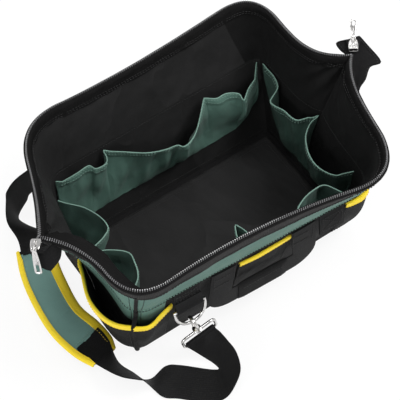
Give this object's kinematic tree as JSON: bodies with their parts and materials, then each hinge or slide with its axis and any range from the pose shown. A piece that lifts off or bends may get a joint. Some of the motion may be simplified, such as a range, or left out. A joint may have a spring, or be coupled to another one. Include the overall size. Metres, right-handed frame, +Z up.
{
  "type": "tool bag",
  "caption": "Wide-mouthed fabric tool bag standing open, with a zip rim on stays, inner and outer pockets, carry handles and a clip-on padded shoulder strap.",
  "frame": {"origin": "on the floor, at the middle of the base panel's underside", "axes": "+X along the bag towards its right end, -Y towards the front with the shown handle, +Z up"},
  "size_m": [0.5659, 0.4483, 0.2495],
  "materials": {
    "black_cloth": "woven, padded",
    "green_cloth": "woven",
    "yellow_binding": "woven tape",
    "webbing": "ribbed webbing",
    "zip_tape": "ribbed tape",
    "zip_teeth": "satin",
    "stay_steel": "plain",
    "nickel": "bright nickel",
    "board": "matte"
  },
  "bodies": {
    "bag": {"back_inner_pocket": "green_cloth", "back_plain_tab": "webbing", "back_pocket": "black_cloth", "back_pocket_binding": "yellow_binding", "back_ring_tab": "webbing", "back_wall": "black_cloth", "base_board": "board", "base_panel": "black_cloth", "front_centre_pocket": "black_cloth", "front_centre_pocket_binding": "yellow_binding", "front_inner_pocket": "green_cloth", "front_left_pocket": "black_cloth", "front_left_pocket_binding": "yellow_binding", "front_plain_tab": "webbing", "front_right_pocket": "black_cloth", "front_right_pocket_binding": "yellow_binding", "front_ring_tab": "webbing", "front_wall": "black_cloth", "left_end_pocket": "black_cloth", "left_end_pocket_binding": "yellow_binding", "left_end_wall": "black_cloth", "left_gusset": "green_cloth", "left_inner_pocket": "green_cloth", "left_zip_tail": "zip_tape", "left_zip_teeth": "zip_teeth", "right_end_pocket": "black_cloth", "right_end_pocket_binding": "yellow_binding", "right_end_wall": "black_cloth", "right_gusset": "green_cloth", "right_inner_pocket": "green_cloth", "right_zip_tail": "zip_tape", "right_zip_teeth": "zip_teeth", "shoulder_pad": "green_cloth", "strap_adjuster": "nickel", "strap_back_run": "webbing", "strap_floor_run": "webbing", "strap_front_run": "webbing", "strap_rear_run": "webbing"},
    "front_mouth": {"front_upper_wall": "green_cloth", "front_zip_tape": "zip_tape", "front_rim_stay": "stay_steel", "front_zip_teeth": "zip_teeth"},
    "back_mouth": {"back_upper_wall": "green_cloth", "back_zip_tape": "zip_tape", "back_rim_stay": "stay_steel", "back_zip_teeth": "zip_teeth"},
    "left_slider_body": {"left_slider": "nickel"},
    "right_slider_body": {"right_slider": "nickel"},
    "left_pull_body": {"left_pull": "nickel"},
    "right_pull_body": {"right_pull": "nickel"},
    "front_carry": {"front_handle": "webbing"},
    "back_carry": {"back_handle": "webbing"},
    "front_ring": {"front_d_ring": "nickel", "front_hook_eye": "nickel"},
    "back_ring": {"back_d_ring": "nickel", "back_hook_eye": "nickel"},
    "front_hook": {"front_hook_body": "nickel"},
    "back_hook": {"back_hook_body": "nickel"},
    "front_gate": {"front_hook_gate": "nickel"},
    "back_gate": {"back_hook_gate": "nickel"}
  },
  "joints": [
    {"name": "front_mouth_fold", "type": "hinge", "parent": "bag", "child": "front_mouth", "pos_m": [0.00024, -0.12668, 0.15], "axis": [-0.9989, 0.0473, 0], "range_deg": [0, 50], "deforming": ["left_gusset", "right_gusset", "left_zip_teeth", "right_zip_teeth"]},
    {"name": "back_mouth_fold", "type": "hinge", "parent": "bag", "child": "back_mouth", "pos_m": [0.00007, 0.12875, 0.15], "axis": [0.9999, 0.0149, 0], "range_deg": [0, 50], "deforming": ["left_gusset", "right_gusset", "left_zip_teeth", "right_zip_teeth"]},
    {"name": "left_slider_run", "type": "slide", "parent": "bag", "child": "left_slider_body", "axis": [0.6198, 0.7848, 0], "range_m": [0, 0.015], "deforming": ["left_gusset", "left_zip_teeth", "left_zip_tail"]},
    {"name": "left_pull_swing", "type": "hinge", "parent": "left_slider_body", "child": "left_pull_body", "pos_m": [-0.27229, -0.01623, 0.24738], "axis": [-0.7759, 0.6128, -0.15], "range_deg": [0, 225]},
    {"name": "right_slider_run", "type": "slide", "parent": "bag", "child": "right_slider_body", "axis": [-0.6198, -0.7848, 0], "range_m": [0, 0.015], "deforming": ["right_gusset", "right_zip_teeth", "right_zip_tail"]},
    {"name": "right_pull_swing", "type": "hinge", "parent": "right_slider_body", "child": "right_pull_body", "pos_m": [0.25917, 0.0217, 0.24738], "axis": [0.7759, -0.6128, 0.15], "range_deg": [0, 140]},
    {"name": "front_handle_swing", "type": "hinge", "parent": "bag", "child": "front_carry", "pos_m": [-0.00013, -0.1337, 0.1468], "axis": [-0.9989, 0.0473, 0], "range_deg": [0, 150]},
    {"name": "front_ring_swing", "type": "hinge", "parent": "bag", "child": "front_ring", "pos_m": [-0.12042, -0.13457, 0.11825], "axis": [-0.9989, 0.0473, 0], "range_deg": [0, 45], "deforming": ["strap_front_run"]},
    {"name": "front_hook_turn", "type": "hinge", "parent": "front_ring", "child": "front_hook", "pos_m": [-0.11614, -0.14409, 0.0655], "axis": [-0.1997, 0.0499, 0.9786], "range_deg": [-30, 30]},
    {"name": "front_gate_open", "type": "hinge", "parent": "front_hook", "child": "front_gate", "pos_m": [-0.11677, -0.14889, 0.06858], "axis": [-0.9798, -0.0002, -0.2], "range_deg": [0, 25], "stiffness_Nm_per_rad": 0.02, "springref_deg": -17.19},
    {"name": "back_handle_swing", "type": "hinge", "parent": "bag", "child": "back_carry", "pos_m": [-0.00004, 0.13574, 0.1468], "axis": [0.9999, 0.0149, 0], "range_deg": [0, 150]},
    {"name": "back_ring_swing", "type": "hinge", "parent": "bag", "child": "back_ring", "pos_m": [0.11987, 0.14401, 0.11825], "axis": [0.9999, 0.0149, 0], "range_deg": [0, 45], "deforming": ["strap_back_run"]},
    {"name": "back_hook_turn", "type": "hinge", "parent": "back_ring", "child": "back_hook", "pos_m": [0.11507, 0.15354, 0.0655], "axis": [0.1997, -0.0499, 0.9786], "range_deg": [-30, 30]},
    {"name": "back_gate_open", "type": "hinge", "parent": "back_hook", "child": "back_gate", "pos_m": [0.1157, 0.15835, 0.06858], "axis": [0.9798, 0.0002, -0.2], "range_deg": [0, 25], "stiffness_Nm_per_rad": 0.02, "springref_deg": -17.19}
  ],
  "couplings": [
    {"joint": "back_mouth_fold", "follows": "front_mouth_fold", "ratio": 1}
  ]
}
